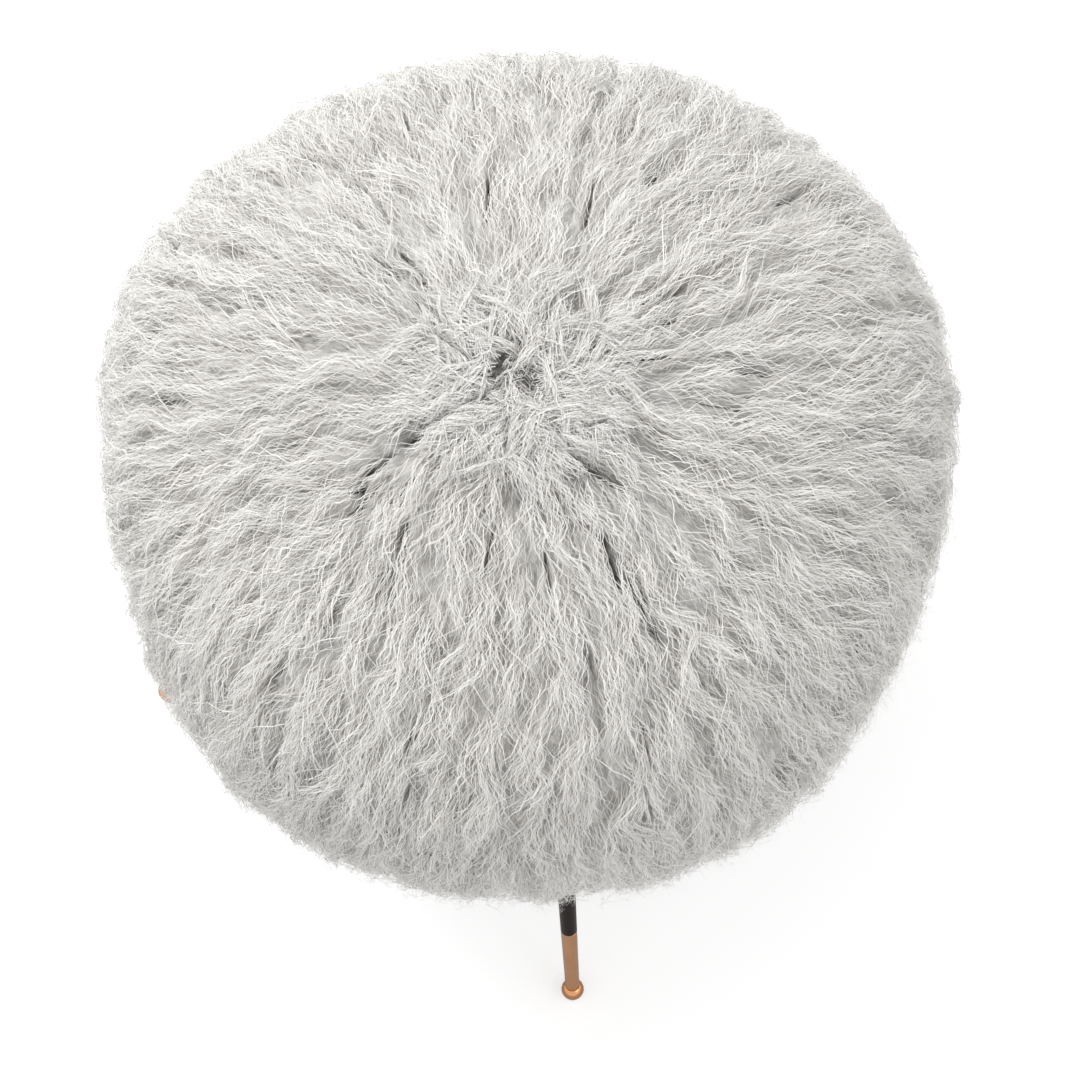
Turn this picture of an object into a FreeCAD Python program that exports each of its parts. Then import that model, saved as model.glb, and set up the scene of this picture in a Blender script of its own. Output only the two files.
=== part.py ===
import FreeCAD, Part
import math
import os

# Round stool with a long-haired sheepskin seat on four splayed legs.
# Millimetres, +Z up, origin on the floor under the middle of the seat.
# The front leg stands towards -Y.

# Seat board and cushion
board_base_z = 270.0
board_thickness = 18.0
board_edge_round = 3.0
board_inset = 0.5
cushion_radius = 190.0
cushion_height = 146.0
cushion_bulge = 3.5
widest_above_board = 70.0
crown_radius = 600.0
shoulder_radius = 50.0
core_height = 104.0

# Layers that wrap the cushion, each clear of the next by soft_gap
soft_gap = 0.3
wadding_thickness = 6.0
lining_thickness = 1.0
hide_thickness = 2.5
hide_turn_under = 40.0
hide_edge_round = 2.0

# Fur, measured from the hide to the outside of the combed pile
pile_over_crown = 35.3
pile_at_side = 39.3
pile_side_radius = 105.0
skirt_drop = 59.5
skirt_draw_in = 30.0
skirt_thickness = 12.0
skirt_lip_round = 4.0

# Cloth under the seat and its staples
cover_thickness = 0.8
cover_lap = 26.0
staple_width = 10.0
staple_leg = 8.0
staple_wire = 0.6
staple_wire_wide = 1.2
staple_count = 24
staple_hole_gap = 0.05
cover_staple_inset = 6.0
hide_staple_inset = 7.0

# Legs
leg_count = 4
plate_inset = 23.25
foot_circle_radius = 229.0
leg_top_diameter = 12.5
leg_end_diameter = 8.8
leg_end_round = 0.6

# Leg plate and its angled boss
plate_radial = 44.0
plate_across = 52.0
plate_thickness = 2.5
plate_corner = 6.0
boss_diameter = 16.0
boss_length = 14.0
boss_end_round = 1.0
plate_clear_of_staples = 7.0

# Screws that hold the plates
screw_diameter = 3.6
screw_length = 17.0
screw_head_diameter = 7.5
screw_head_height = 2.3
screw_pitch_radial = 30.0
screw_pitch_across = 38.0
screw_hole_gap = 0.4
screw_pilot_gap = 0.02
recess_width = 0.9
recess_span = 4.4
recess_depth = 1.2

# Stud that joins a leg to its boss
leg_stud_diameter = 6.0
leg_stud_in_boss = 12.0
leg_stud_in_rod = 18.0
thread_gap = 0.05
stud_end_room = 1.0
stud_end_chamfer = 0.5

# Copper ferrule, sleeved on the thin end of the rod
ferrule_length = 78.0
ferrule_bore_diameter = 7.1
ferrule_end_wall = 3.0
ferrule_fit_gap = 0.05
ferrule_edge = 0.3

# Ball foot, its stud and its glide pad
ball_diameter = 14.0
foot_stud_diameter = 4.0
foot_stud_in_ball = 6.5
foot_travel = 6.0
foot_stud_grip = 10.0
foot_seat_gap = 0.05
press_gap = 0.02
pad_diameter = 11.5
pad_height = 2.6
pad_web = 1.0
pad_cup_gap = 0.1
pad_edge_round = 0.4

# Heights of the stack, from the floor up
board_top_z = board_base_z + board_thickness
cushion_top_z = board_top_z + cushion_height
widest_z = board_base_z + widest_above_board
core_top_z = board_top_z + core_height
hide_under_z = board_base_z - hide_thickness
cover_under_z = hide_under_z - cover_thickness
plate_under_z = cover_under_z - plate_thickness
skirt_z = hide_under_z - skirt_drop

# How far outside the cushion each wrapped layer starts and ends
wadding_in = soft_gap
wadding_out = wadding_in + wadding_thickness
lining_in = wadding_out + soft_gap
lining_out = lining_in + lining_thickness
hide_in = lining_out + soft_gap
hide_out = hide_in + hide_thickness
fur_in = hide_out + soft_gap

# The cushion's three tangent arcs: side, crown and the shoulder between them
side_radius = (widest_above_board**2 + cushion_bulge**2) / (2 * cushion_bulge)
side_centre_r = cushion_radius - side_radius
crown_centre_z = cushion_top_z - crown_radius

# Outside of the fur
fur_radius = cushion_radius + fur_in + pile_at_side
fur_top_z = cushion_top_z + fur_in + pile_over_crown

Z_AXIS = FreeCAD.Vector(0, 0, 1)
Y_AXIS = FreeCAD.Vector(0, 1, 0)
CENTRE = FreeCAD.Vector(0, 0, 0)


def point(radius, height):
    return FreeCAD.Vector(radius, 0, height)


def shoulder_centre():
    """Centre of the arc that touches the crown and the side from inside."""
    to_crown = crown_radius - shoulder_radius
    to_side = side_radius - shoulder_radius
    apart_r = side_centre_r
    apart_z = widest_z - crown_centre_z
    apart = math.hypot(apart_r, apart_z)
    along = (to_crown**2 - to_side**2 + apart**2) / (2 * apart)
    across = math.sqrt(to_crown**2 - along**2)
    unit_r = apart_r / apart
    unit_z = apart_z / apart
    return (
        along * unit_r + across * unit_z,
        crown_centre_z + along * unit_z - across * unit_r,
    )


def arc_about(centre_r, centre_z, radius, start, stop):
    """Arc edge in the XZ plane from one angle to another, in radians."""
    points = []
    for angle in (start, (start + stop) / 2, stop):
        points.append(point(centre_r + radius * math.cos(angle), centre_z + radius * math.sin(angle)))
    return Part.Arc(*points).toShape()


def cushion_side_r(height, offset):
    """Radius of the cushion's side at a height, grown outwards by offset."""
    reach = side_radius + offset
    return side_centre_r + math.sqrt(reach**2 - (height - widest_z) ** 2)


def cushion_edges(offset, low_z):
    """Cushion outline from its top on the axis down to low_z, grown by offset."""
    centre_r, centre_z = shoulder_centre()
    crown_end = math.atan2(centre_z - crown_centre_z, centre_r)
    side_start = math.atan2(centre_z - widest_z, centre_r - side_centre_r)
    side_end = math.asin((low_z - widest_z) / (side_radius + offset))
    return [
        arc_about(0, crown_centre_z, crown_radius + offset, math.pi / 2, crown_end),
        arc_about(centre_r, centre_z, shoulder_radius + offset, crown_end, side_start),
        arc_about(side_centre_r, widest_z, side_radius + offset, side_start, side_end),
    ]


def line(start, stop):
    return Part.makeLine(start, stop)


def turned(edges):
    """Solid turned about the Z axis from a closed outline."""
    wire = Part.Wire(Part.__sortEdges__(edges))
    return Part.Face(wire).revolve(CENTRE, Z_AXIS, 360)


def cushion_solid(offset, low_z):
    edges = cushion_edges(offset, low_z)
    corner = point(cushion_side_r(low_z, offset), low_z)
    edges.append(line(corner, point(0, low_z)))
    edges.append(line(point(0, low_z), point(0, cushion_top_z + offset)))
    return turned(edges)


def cushion_shell(inner, outer, low_z):
    """Layer that wraps the cushion and is open underneath."""
    edges = cushion_edges(outer, low_z) + cushion_edges(inner, low_z)
    edges.append(
        line(point(cushion_side_r(low_z, outer), low_z), point(cushion_side_r(low_z, inner), low_z))
    )
    edges.append(line(point(0, cushion_top_z + inner), point(0, cushion_top_z + outer)))
    return turned(edges)


def disc(radius, low_z, high_z):
    return Part.makeCylinder(radius, high_z - low_z, point(0, low_z))


def rims(shape, low_z=-math.inf, high_z=math.inf):
    """Full circles on a shape whose middles lie between two heights."""
    found = []
    for edge in shape.Edges:
        if edge.isClosed() and not edge.Degenerated and low_z < edge.CenterOfMass.z < high_z:
            found.append(edge)
    return found


# Rings on the underside of the seat
board_radius = cushion_side_r(board_base_z, 0) - board_inset
hide_edge_radius = board_radius - hide_turn_under
cover_radius = hide_edge_radius + cover_lap

# Foot and leg, along the leg's own axis from the centre of the ball. The splay
# follows from the plate's place on the board and the foot's place on the floor.
plate_centre_r = board_radius - plate_inset
ball_radius = ball_diameter / 2
ball_centre_z = pad_web + ball_radius
splay = math.atan2(foot_circle_radius - plate_centre_r, plate_under_z - ball_centre_z)
ball_flat = math.sqrt(ball_radius**2 - (leg_end_diameter / 2) ** 2)
ferrule_start = ball_flat + foot_seat_gap
ferrule_end = ferrule_start + ferrule_length
core_start = ferrule_start + ferrule_end_wall + foot_seat_gap
boss_top = (plate_under_z - ball_centre_z) / math.cos(splay)
rod_end = boss_top - boss_length
foot_stud_top = core_start + foot_travel + foot_stud_grip


def leg_angles():
    """Directions of the legs round the seat, front leg first."""
    return [-90 + 360 / leg_count * index for index in range(leg_count)]


def ring_angles(radius, first):
    """Staple directions on a ring, leaving out the ones that a leg plate covers."""
    half_plate = plate_across / 2 + staple_width / 2 + plate_clear_of_staples
    half_covered = math.degrees(math.asin(half_plate / radius))
    angles = []
    for index in range(staple_count):
        angle = first + 360 / staple_count * index
        nearest = min(abs((angle - leg + 180) % 360 - 180) for leg in leg_angles())
        if nearest > half_covered:
            angles.append(angle)
    return angles


def make_staple(under_z, gap):
    """Staple at the origin's direction: a flat crown and two legs that point up."""
    thick = staple_wire + 2 * gap
    wide = staple_wire_wide + 2 * gap
    crown_corner = FreeCAD.Vector(-wide / 2, -staple_width / 2, under_z - staple_wire)
    parts = [Part.makeBox(wide, staple_width, staple_wire, crown_corner)]
    for side in (-1, 1):
        middle = side * (staple_width - staple_wire) / 2
        corner = FreeCAD.Vector(-wide / 2, middle - thick / 2, under_z - staple_wire)
        parts.append(Part.makeBox(wide, thick, staple_leg + staple_wire + gap, corner))
    return parts[0].multiFuse(parts[1:]).removeSplitter()


def staple_ring(radius, first, under_z, gap):
    staples = []
    for angle in ring_angles(radius, first):
        staple = make_staple(under_z, gap)
        staple.translate(FreeCAD.Vector(radius, 0, 0))
        staple.rotate(CENTRE, Z_AXIS, angle)
        staples.append(staple)
    return staples


def cover_staples(gap):
    return staple_ring(cover_radius - cover_staple_inset, 0, cover_under_z, gap)


def hide_staples(gap):
    half_step = 180 / staple_count
    return staple_ring(board_radius - hide_staple_inset, half_step, hide_under_z, gap)


def screw_places():
    """Axis of each plate screw as x, y on the underside of the seat."""
    places = []
    for angle in leg_angles():
        turn = math.radians(angle)
        for out in (-screw_pitch_radial / 2, screw_pitch_radial / 2):
            for side in (-screw_pitch_across / 2, screw_pitch_across / 2):
                radial = plate_centre_r + out
                x = radial * math.cos(turn) - side * math.sin(turn)
                y = radial * math.sin(turn) + side * math.cos(turn)
                places.append((x, y))
    return places


def screw_holes(gap, top_z):
    holes = []
    for x, y in screw_places():
        base = FreeCAD.Vector(x, y, plate_under_z)
        holes.append(Part.makeCylinder(screw_diameter / 2 + gap, top_z - plate_under_z, base))
    return holes


def make_screw():
    """Pan head and shank with a cross recess, head down, seat of the head at z = 0."""
    dome_radius = ((screw_head_diameter / 2) ** 2 + screw_head_height**2) / (2 * screw_head_height)
    dome = Part.makeSphere(dome_radius, FreeCAD.Vector(0, 0, dome_radius - screw_head_height))
    head = dome.common(disc(screw_head_diameter, -screw_head_height, 0))
    shank = Part.makeCylinder(screw_diameter / 2, screw_length)
    shank = shank.makeChamfer(stud_end_chamfer, rims(shank, low_z=screw_length / 2))
    screw = head.fuse(shank).removeSplitter()
    for turn in (0, 90):
        slot = Part.makeBox(
            recess_width,
            recess_span,
            recess_depth,
            FreeCAD.Vector(-recess_width / 2, -recess_span / 2, -screw_head_height),
        )
        slot.rotate(CENTRE, Z_AXIS, turn)
        screw = screw.cut(slot)
    return screw


def make_screws():
    screws = []
    for x, y in screw_places():
        screw = make_screw()
        screw.translate(FreeCAD.Vector(x, y, plate_under_z))
        screws.append(screw)
    return Part.makeCompound(screws)


def make_board():
    board = disc(board_radius, board_base_z, board_top_z)
    board = board.makeFillet(board_edge_round, rims(board))
    pilot_top = plate_under_z + screw_length + stud_end_room
    board = board.cut(screw_holes(screw_pilot_gap, pilot_top))
    return board.cut(cover_staples(staple_hole_gap) + hide_staples(staple_hole_gap))


def make_foam_core():
    reach = 2 * cushion_radius
    return cushion_solid(0, board_top_z).common(disc(reach, board_top_z, core_top_z))


def make_foam_crown():
    reach = 2 * cushion_radius
    return cushion_solid(0, board_top_z).common(disc(reach, core_top_z, 2 * cushion_top_z))


def make_wadding():
    return cushion_shell(wadding_in, wadding_out, board_base_z + soft_gap)


def make_lining():
    return cushion_shell(lining_in, lining_out, board_base_z + soft_gap)


def make_hide():
    """Skin drawn over the cushion and turned under the board."""
    skin = cushion_solid(hide_out, hide_under_z)
    skin = skin.makeFillet(hide_edge_round, rims(skin, high_z=hide_under_z + hide_edge_round))
    inside = cushion_solid(hide_in, board_base_z)
    mouth = disc(hide_edge_radius, hide_under_z - 1, board_base_z + 1)
    skin = skin.cut([inside, mouth])
    skin = skin.cut(screw_holes(screw_hole_gap, board_base_z + 1))
    return skin.cut(cover_staples(staple_hole_gap) + hide_staples(staple_hole_gap))


def make_fur():
    """Combed pile: domed over the seat, widest at the side, hanging below the board."""
    skirt_r = fur_radius - skirt_draw_in
    skirt_end_z = skirt_z + skirt_lip_round
    lower_drop = widest_z - skirt_end_z
    lower_radius = (lower_drop**2 + skirt_draw_in**2) / (2 * skirt_draw_in)
    root_r = cushion_side_r(hide_under_z, fur_in)
    rise = fur_top_z - widest_z
    side_r = fur_radius - pile_side_radius
    dome_radius = (side_r**2 + rise**2 - pile_side_radius**2) / (2 * (rise - pile_side_radius))
    dome_z = fur_top_z - dome_radius
    dome_end = math.atan2(widest_z - dome_z, side_r)
    edges = [
        arc_about(0, dome_z, dome_radius, math.pi / 2, dome_end),
        arc_about(side_r, widest_z, pile_side_radius, dome_end, 0),
        arc_about(
            fur_radius - lower_radius, widest_z, lower_radius, 0, -math.asin(lower_drop / lower_radius)
        ),
        Part.Arc(
            point(skirt_r, skirt_end_z),
            point(skirt_r - skirt_thickness / 2, skirt_z),
            point(skirt_r - skirt_thickness, skirt_end_z),
        ).toShape(),
        line(point(skirt_r - skirt_thickness, skirt_end_z), point(root_r, hide_under_z)),
    ]
    edges += cushion_edges(fur_in, hide_under_z)
    edges.append(line(point(0, cushion_top_z + fur_in), point(0, fur_top_z)))
    return turned(edges)


def make_dust_cover():
    cover = disc(cover_radius, cover_under_z, hide_under_z)
    cover = cover.cut(screw_holes(screw_hole_gap, hide_under_z + 1))
    return cover.cut(cover_staples(staple_hole_gap))


def along_leg(shape):
    """Tilts a shape made upright at the ball's centre, and sets it at the +X foot."""
    placed = shape.copy()
    placed.rotate(CENTRE, Y_AXIS, -math.degrees(splay))
    placed.translate(FreeCAD.Vector(foot_circle_radius, 0, ball_centre_z))
    return placed


def leg_cone(start, stop):
    """Outside of the leg between two distances from the ball, tapering evenly."""
    slope = (leg_top_diameter - leg_end_diameter) / (rod_end - ferrule_start)
    low = leg_end_diameter / 2 + slope * (start - ferrule_start) / 2
    high = leg_end_diameter / 2 + slope * (stop - ferrule_start) / 2
    return Part.makeCone(low, high, stop - start, point(0, start))


def rod_along(diameter, start, stop):
    return Part.makeCylinder(diameter / 2, stop - start, point(0, start))


def make_leg_plate():
    """Plate under the seat with a boss that leans along the leg."""
    plate = Part.makeBox(
        plate_radial,
        plate_across,
        plate_thickness,
        FreeCAD.Vector(plate_centre_r - plate_radial / 2, -plate_across / 2, plate_under_z),
    )
    upright = [edge for edge in plate.Edges if abs(edge.tangentAt(edge.FirstParameter).z) > 0.9]
    plate = plate.makeFillet(plate_corner, upright)
    for out in (-screw_pitch_radial / 2, screw_pitch_radial / 2):
        for side in (-screw_pitch_across / 2, screw_pitch_across / 2):
            base = FreeCAD.Vector(plate_centre_r + out, side, plate_under_z - 1)
            hole = Part.makeCylinder(screw_diameter / 2 + screw_hole_gap, plate_thickness + 2, base)
            plate = plate.cut(hole)
    lean_reach = boss_diameter * math.tan(splay)
    boss = rod_along(boss_diameter, rod_end, boss_top + lean_reach)
    boss = boss.makeFillet(boss_end_round, rims(boss, high_z=rod_end + boss_end_round))
    below_cover = disc(2 * foot_circle_radius, 0, cover_under_z)
    plate = plate.fuse(along_leg(boss).common(below_cover)).removeSplitter()
    bore_top = rod_end + leg_stud_in_boss + stud_end_room
    bore = along_leg(rod_along(leg_stud_diameter + 2 * thread_gap, rod_end - 1, bore_top))
    return plate.cut(bore)


def make_stud(diameter, start, stop):
    stud = rod_along(diameter, start, stop)
    return stud.makeChamfer(stud_end_chamfer, rims(stud))


def make_leg_rod():
    """Tapered rod, drilled at the top for its stud and thinned at the foot for the ferrule."""
    outside = leg_cone(ferrule_end, rod_end)
    outside = outside.makeFillet(leg_end_round, rims(outside, low_z=rod_end - leg_end_round))
    core = rod_along(ferrule_bore_diameter - 2 * ferrule_fit_gap, core_start, ferrule_end)
    rod = outside.fuse(core)
    top_hole_end = rod_end - leg_stud_in_rod - stud_end_room
    top_hole = rod_along(leg_stud_diameter + 2 * thread_gap, top_hole_end, rod_end + 1)
    foot_hole_end = foot_stud_top + stud_end_room
    foot_hole = rod_along(foot_stud_diameter + 2 * thread_gap, core_start - 1, foot_hole_end)
    return rod.cut([top_hole, foot_hole])


def make_ferrule():
    """Tapered copper sleeve with an end wall that the foot's stud passes through."""
    sleeve = leg_cone(ferrule_start, ferrule_end)
    sleeve = sleeve.makeChamfer(ferrule_edge, rims(sleeve))
    bore = rod_along(ferrule_bore_diameter, ferrule_start + ferrule_end_wall, ferrule_end + 1)
    stud_way = rod_along(foot_stud_diameter + 2 * thread_gap, ferrule_start - 1, ferrule_end)
    return sleeve.cut([bore, stud_way])


def make_ball_foot():
    """Ball with a flat that the ferrule's end sits on, drilled for its stud."""
    ball = Part.makeSphere(ball_radius)
    ball = ball.common(disc(2 * ball_radius, -2 * ball_radius, ball_flat))
    hole = rod_along(foot_stud_diameter + 2 * press_gap, ball_flat - foot_stud_in_ball, ball_flat + 1)
    return ball.cut(hole)


def make_glide_pad():
    """Flat pad on the floor under the ball, cupped to the ball on its upper side."""
    pad = Part.makeCylinder(pad_diameter / 2, pad_height, FreeCAD.Vector(foot_circle_radius, 0, 0))
    pad = pad.makeFillet(pad_edge_round, rims(pad))
    cup_centre = FreeCAD.Vector(foot_circle_radius, 0, ball_centre_z)
    return pad.cut(Part.makeSphere(ball_radius + pad_cup_gap, cup_centre))


def leg_parts():
    """Every piece of one leg, standing at +X, by name."""
    stud_foot = ball_flat - foot_stud_in_ball + press_gap
    return {
        "leg_plate": make_leg_plate(),
        "leg_stud": along_leg(
            make_stud(leg_stud_diameter, rod_end - leg_stud_in_rod, rod_end + leg_stud_in_boss)
        ),
        "leg_rod": along_leg(make_leg_rod()),
        "ferrule": along_leg(make_ferrule()),
        "foot_stud": along_leg(make_stud(foot_stud_diameter, stud_foot, foot_stud_top)),
        "ball_foot": along_leg(make_ball_foot()),
        "glide_pad": make_glide_pad(),
    }


def seat_parts():
    return {
        "seat_board": make_board(),
        "foam_core": make_foam_core(),
        "foam_crown": make_foam_crown(),
        "wadding_wrap": make_wadding(),
        "lining_cover": make_lining(),
        "sheepskin_hide": make_hide(),
        "fur_pile": make_fur(),
        "dust_cover": make_dust_cover(),
        "cover_staples": Part.makeCompound(cover_staples(0)),
        "hide_staples": Part.makeCompound(hide_staples(0)),
        "plate_screws": make_screws(),
    }


def all_parts():
    parts = seat_parts()
    sides = ("front", "right", "back", "left")
    one_leg = leg_parts()
    for side, angle in zip(sides, leg_angles()):
        for name, shape in one_leg.items():
            placed = shape.copy()
            placed.rotate(CENTRE, Z_AXIS, angle)
            parts[side + "_" + name] = placed
    return parts


os.makedirs("parts", exist_ok=True)
for part_name, part_shape in all_parts().items():
    part_shape.exportStep("parts/" + part_name + ".step")
    print(part_name, len(part_shape.Solids), round(part_shape.Volume), part_shape.isValid())
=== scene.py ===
import math

import bpy
import numpy as np
from bpy.props import FloatProperty, FloatVectorProperty, IntProperty, PointerProperty
from bpy.types import Operator, Panel, PropertyGroup
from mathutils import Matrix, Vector
from mathutils.kdtree import KDTree


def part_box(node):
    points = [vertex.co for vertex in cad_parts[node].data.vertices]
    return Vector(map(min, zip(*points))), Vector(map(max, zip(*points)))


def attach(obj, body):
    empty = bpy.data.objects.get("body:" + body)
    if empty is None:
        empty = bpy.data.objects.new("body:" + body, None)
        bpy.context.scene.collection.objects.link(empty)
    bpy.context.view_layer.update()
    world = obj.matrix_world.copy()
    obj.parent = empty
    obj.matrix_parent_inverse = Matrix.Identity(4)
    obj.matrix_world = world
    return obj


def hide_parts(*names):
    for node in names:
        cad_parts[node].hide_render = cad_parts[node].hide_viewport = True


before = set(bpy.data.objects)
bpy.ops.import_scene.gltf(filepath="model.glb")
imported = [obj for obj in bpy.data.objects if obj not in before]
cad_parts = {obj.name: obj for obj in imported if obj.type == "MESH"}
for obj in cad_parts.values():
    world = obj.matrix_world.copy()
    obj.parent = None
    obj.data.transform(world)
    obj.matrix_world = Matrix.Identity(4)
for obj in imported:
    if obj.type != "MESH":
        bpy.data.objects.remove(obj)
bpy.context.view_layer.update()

bl_info = {
    "name": "Sheepskin Stool",
    "version": (1, 0, 0),
    "blender": (4, 5, 0),
    "location": "View3D > Sidebar > Stool",
    "description": "Dresses a round stool in long combed wool, black enamel and copper",
    "category": "Add Mesh",
}

# The CAD model's box, kept before any piece is added
FUR_LOW, FUR_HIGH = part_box("fur_pile")
HIDE_LOW, HIDE_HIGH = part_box("sheepskin_hide")
MM = 0.001

# Outline of the combed fur: a dome, a round side and a drawn-in skirt
PELT_RADIUS = (FUR_HIGH[0] - FUR_LOW[0]) / 2
PELT_TOP = FUR_HIGH[2]
PELT_FOOT = FUR_LOW[2]
WIDEST_Z = 340 * MM
SIDE_RADIUS = 105 * MM
SKIRT_DRAW_IN = 30 * MM
SIDES = ("front", "right", "back", "left")


# Sizes and colours that a user would change


class StoolFurSettings(PropertyGroup):
    """Sizes and colours of the wool."""

    seed: IntProperty(name="Seed", description="Start of every random draw in the wool", default=7)
    lock_spacing: FloatProperty(
        name="Lock spacing", description="Distance between locks across the comb",
        default=14.5 * MM, unit="LENGTH",
    )
    lock_step: FloatProperty(
        name="Lock step", description="Distance between rows of locks along the comb",
        default=24 * MM, unit="LENGTH",
    )
    lock_length: FloatProperty(
        name="Lock length", description="Length of a lock on the fur's surface",
        default=50 * MM, unit="LENGTH",
    )
    strands_per_lock: IntProperty(
        name="Strands per lock", description="Strands drawn in each lock", default=54
    )
    strand_length: FloatProperty(
        name="Strand length", description="Length of a strand before it dives",
        default=26 * MM, unit="LENGTH",
    )
    strand_width: FloatProperty(
        name="Strand width", description="Width of a strand near its root",
        default=0.44 * MM, unit="LENGTH",
    )
    tip_colour: FloatVectorProperty(
        name="Tip colour", description="Wool near its tips", subtype="COLOR", default=(0.83, 0.82, 0.797)
    )
    root_colour: FloatVectorProperty(
        name="Root colour", description="Wool near its roots", subtype="COLOR", default=(0.69, 0.675, 0.65)
    )
    # Painted shade: the undercoat is drawn this dark at the bottom of partings, less in the creases
    # between locks, and by a fixed share at the whorl
    crevice_shade_colour: FloatVectorProperty(
        name="Crevice colour", description="Bottom of a parting", subtype="COLOR",
        default=(0.09, 0.085, 0.078),
    )


class StoolFinishSettings(PropertyGroup):
    """Colours of the legs and the seat's other pieces."""

    copper: FloatVectorProperty(
        name="Copper", description="Plating of the ferrules and ball feet", subtype="COLOR",
        default=(0.80, 0.40, 0.19),
    )
    enamel: FloatVectorProperty(
        name="Enamel", description="Black of the legs", subtype="COLOR", default=(0.009, 0.0045, 0.0025)
    )


class StoolStageSettings(PropertyGroup):
    """Camera and light."""

    azimuth: FloatProperty(
        name="Azimuth", description="Turn of the camera about the stool", default=math.radians(-8.2),
        subtype="ANGLE",
    )
    elevation: FloatProperty(
        name="Elevation", description="Height of the camera above the horizon", default=math.radians(71.3),
        subtype="ANGLE",
    )
    distance: FloatProperty(
        name="Distance", description="Camera to the point that it looks at",
        default=2.0, unit="LENGTH",
    )
    lens: FloatProperty(name="Lens", description="Focal length in millimetres", default=112.3)
    target: FloatVectorProperty(
        name="Target", description="Point that the camera looks at", default=(0.0128, 0.003, 0.2),
        subtype="TRANSLATION",
    )


# Small helpers


def deselect():
    bpy.ops.object.select_all(action="DESELECT")


def set_material(piece, material):
    piece.data.materials.clear()
    piece.data.materials.append(material)


def dress_node(name, material):
    """Gives a CAD node its finish and leaves its mesh alone."""
    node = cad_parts[name]
    for slot in node.material_slots:
        slot.material = material


def settle(piece, replaced=(), body="stool"):
    """Ties a new piece to its body and the nodes that it stands for."""
    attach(piece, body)
    if replaced:
        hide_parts(*replaced)


def lathe(name, outline, steps):
    """Turns (radius, height) points round the Z axis into a closed or open skin."""
    deselect()
    first = outline[0]
    bpy.ops.mesh.primitive_plane_add(size=MM, location=(first[0], 0, first[1]))
    piece = bpy.context.object
    piece.name = name
    bpy.ops.object.mode_set(mode="EDIT")
    bpy.ops.mesh.select_all(action="SELECT")
    bpy.ops.mesh.merge(type="CENTER")
    for (r0, z0), (r1, z1) in zip(outline, outline[1:]):
        bpy.ops.mesh.extrude_vertices_move(TRANSFORM_OT_translate={"value": (r1 - r0, 0, z1 - z0)})
    bpy.ops.mesh.select_all(action="SELECT")
    bpy.ops.mesh.spin(steps=steps, angle=2 * math.pi, center=(0, 0, 0), axis=(0, 0, 1))
    bpy.ops.mesh.select_all(action="SELECT")
    bpy.ops.mesh.remove_doubles(threshold=1e-6)
    bpy.ops.mesh.normals_make_consistent(inside=False)
    bpy.ops.object.mode_set(mode="OBJECT")
    bpy.ops.object.transform_apply(location=True, rotation=True, scale=True)
    bpy.ops.object.shade_smooth()
    return piece


def smoothstep(low, high, value):
    part = np.clip((value - low) / (high - low), 0, 1)
    return part * part * (3 - 2 * part)


# The pelt: a flat map of the combed fur. A point of the map is its distance
# from the whorl along the fur's surface and its direction round the seat.


DOME_RISE = PELT_TOP - WIDEST_Z
SIDE_R = PELT_RADIUS - SIDE_RADIUS
DOME_RADIUS = (SIDE_R**2 + DOME_RISE**2 - SIDE_RADIUS**2) / (2 * (DOME_RISE - SIDE_RADIUS))
DOME_Z = PELT_TOP - DOME_RADIUS
DOME_ANGLE = math.atan2(SIDE_R, WIDEST_Z - DOME_Z)
SKIRT_DROP = WIDEST_Z - PELT_FOOT
SKIRT_RADIUS = (SKIRT_DROP**2 + SKIRT_DRAW_IN**2) / (2 * SKIRT_DRAW_IN)
SKIRT_ANGLE = math.asin(SKIRT_DROP / SKIRT_RADIUS)
DOME_END = DOME_RADIUS * DOME_ANGLE
SIDE_END = DOME_END + SIDE_RADIUS * (math.pi / 2 - DOME_ANGLE)
SKIRT_END = SIDE_END + SKIRT_RADIUS * SKIRT_ANGLE
HANG_LEAN = math.radians(10)

# The fur is fuller on one side: share of the radius and direction of each swell
PELT_SHARE = 0.978
SWELLS = (
    (1, 0.032, math.radians(44)), (2, 0.007, math.radians(58)), (3, 0.018, math.radians(22)),
    (4, 0.010, math.radians(37)), (5, 0.008, math.radians(7)),
)
# Wool that hangs past the hem, at most
HANG_LIMIT = 12 * MM


def pelt_profile(s):
    """Radius, height and outward normal of the outline at a distance from the whorl."""
    s = np.asarray(s, dtype=float)
    angle = s / DOME_RADIUS
    r = DOME_RADIUS * np.sin(angle)
    z = DOME_Z + DOME_RADIUS * np.cos(angle)
    on_side = s > DOME_END
    side_angle = DOME_ANGLE + (s - DOME_END) / SIDE_RADIUS
    r = np.where(on_side, SIDE_R + SIDE_RADIUS * np.sin(side_angle), r)
    z = np.where(on_side, WIDEST_Z + SIDE_RADIUS * np.cos(side_angle), z)
    angle = np.where(on_side, side_angle, angle)
    on_skirt = s > SIDE_END
    skirt_angle = math.pi / 2 + np.minimum(s - SIDE_END, SKIRT_END - SIDE_END) / SKIRT_RADIUS
    r = np.where(on_skirt, PELT_RADIUS - SKIRT_RADIUS + SKIRT_RADIUS * np.sin(skirt_angle), r)
    z = np.where(on_skirt, WIDEST_Z + SKIRT_RADIUS * np.cos(skirt_angle), z)
    angle = np.where(on_skirt, skirt_angle, angle)
    hang = HANG_LIMIT * (1 - np.exp(-np.maximum(s - SKIRT_END, 0) / HANG_LIMIT))
    r = r - hang * math.sin(HANG_LEAN)
    z = z - hang * math.cos(HANG_LEAN)
    return r, z, np.sin(angle), np.cos(angle)


def fullness(azimuth, r):
    """Share by which the fur stands out or falls short of a true circle."""
    swell = sum(share * np.cos(count * (azimuth - towards)) for count, share, towards in SWELLS)
    return PELT_SHARE + swell * smoothstep(0.02, 0.2, r)


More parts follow.
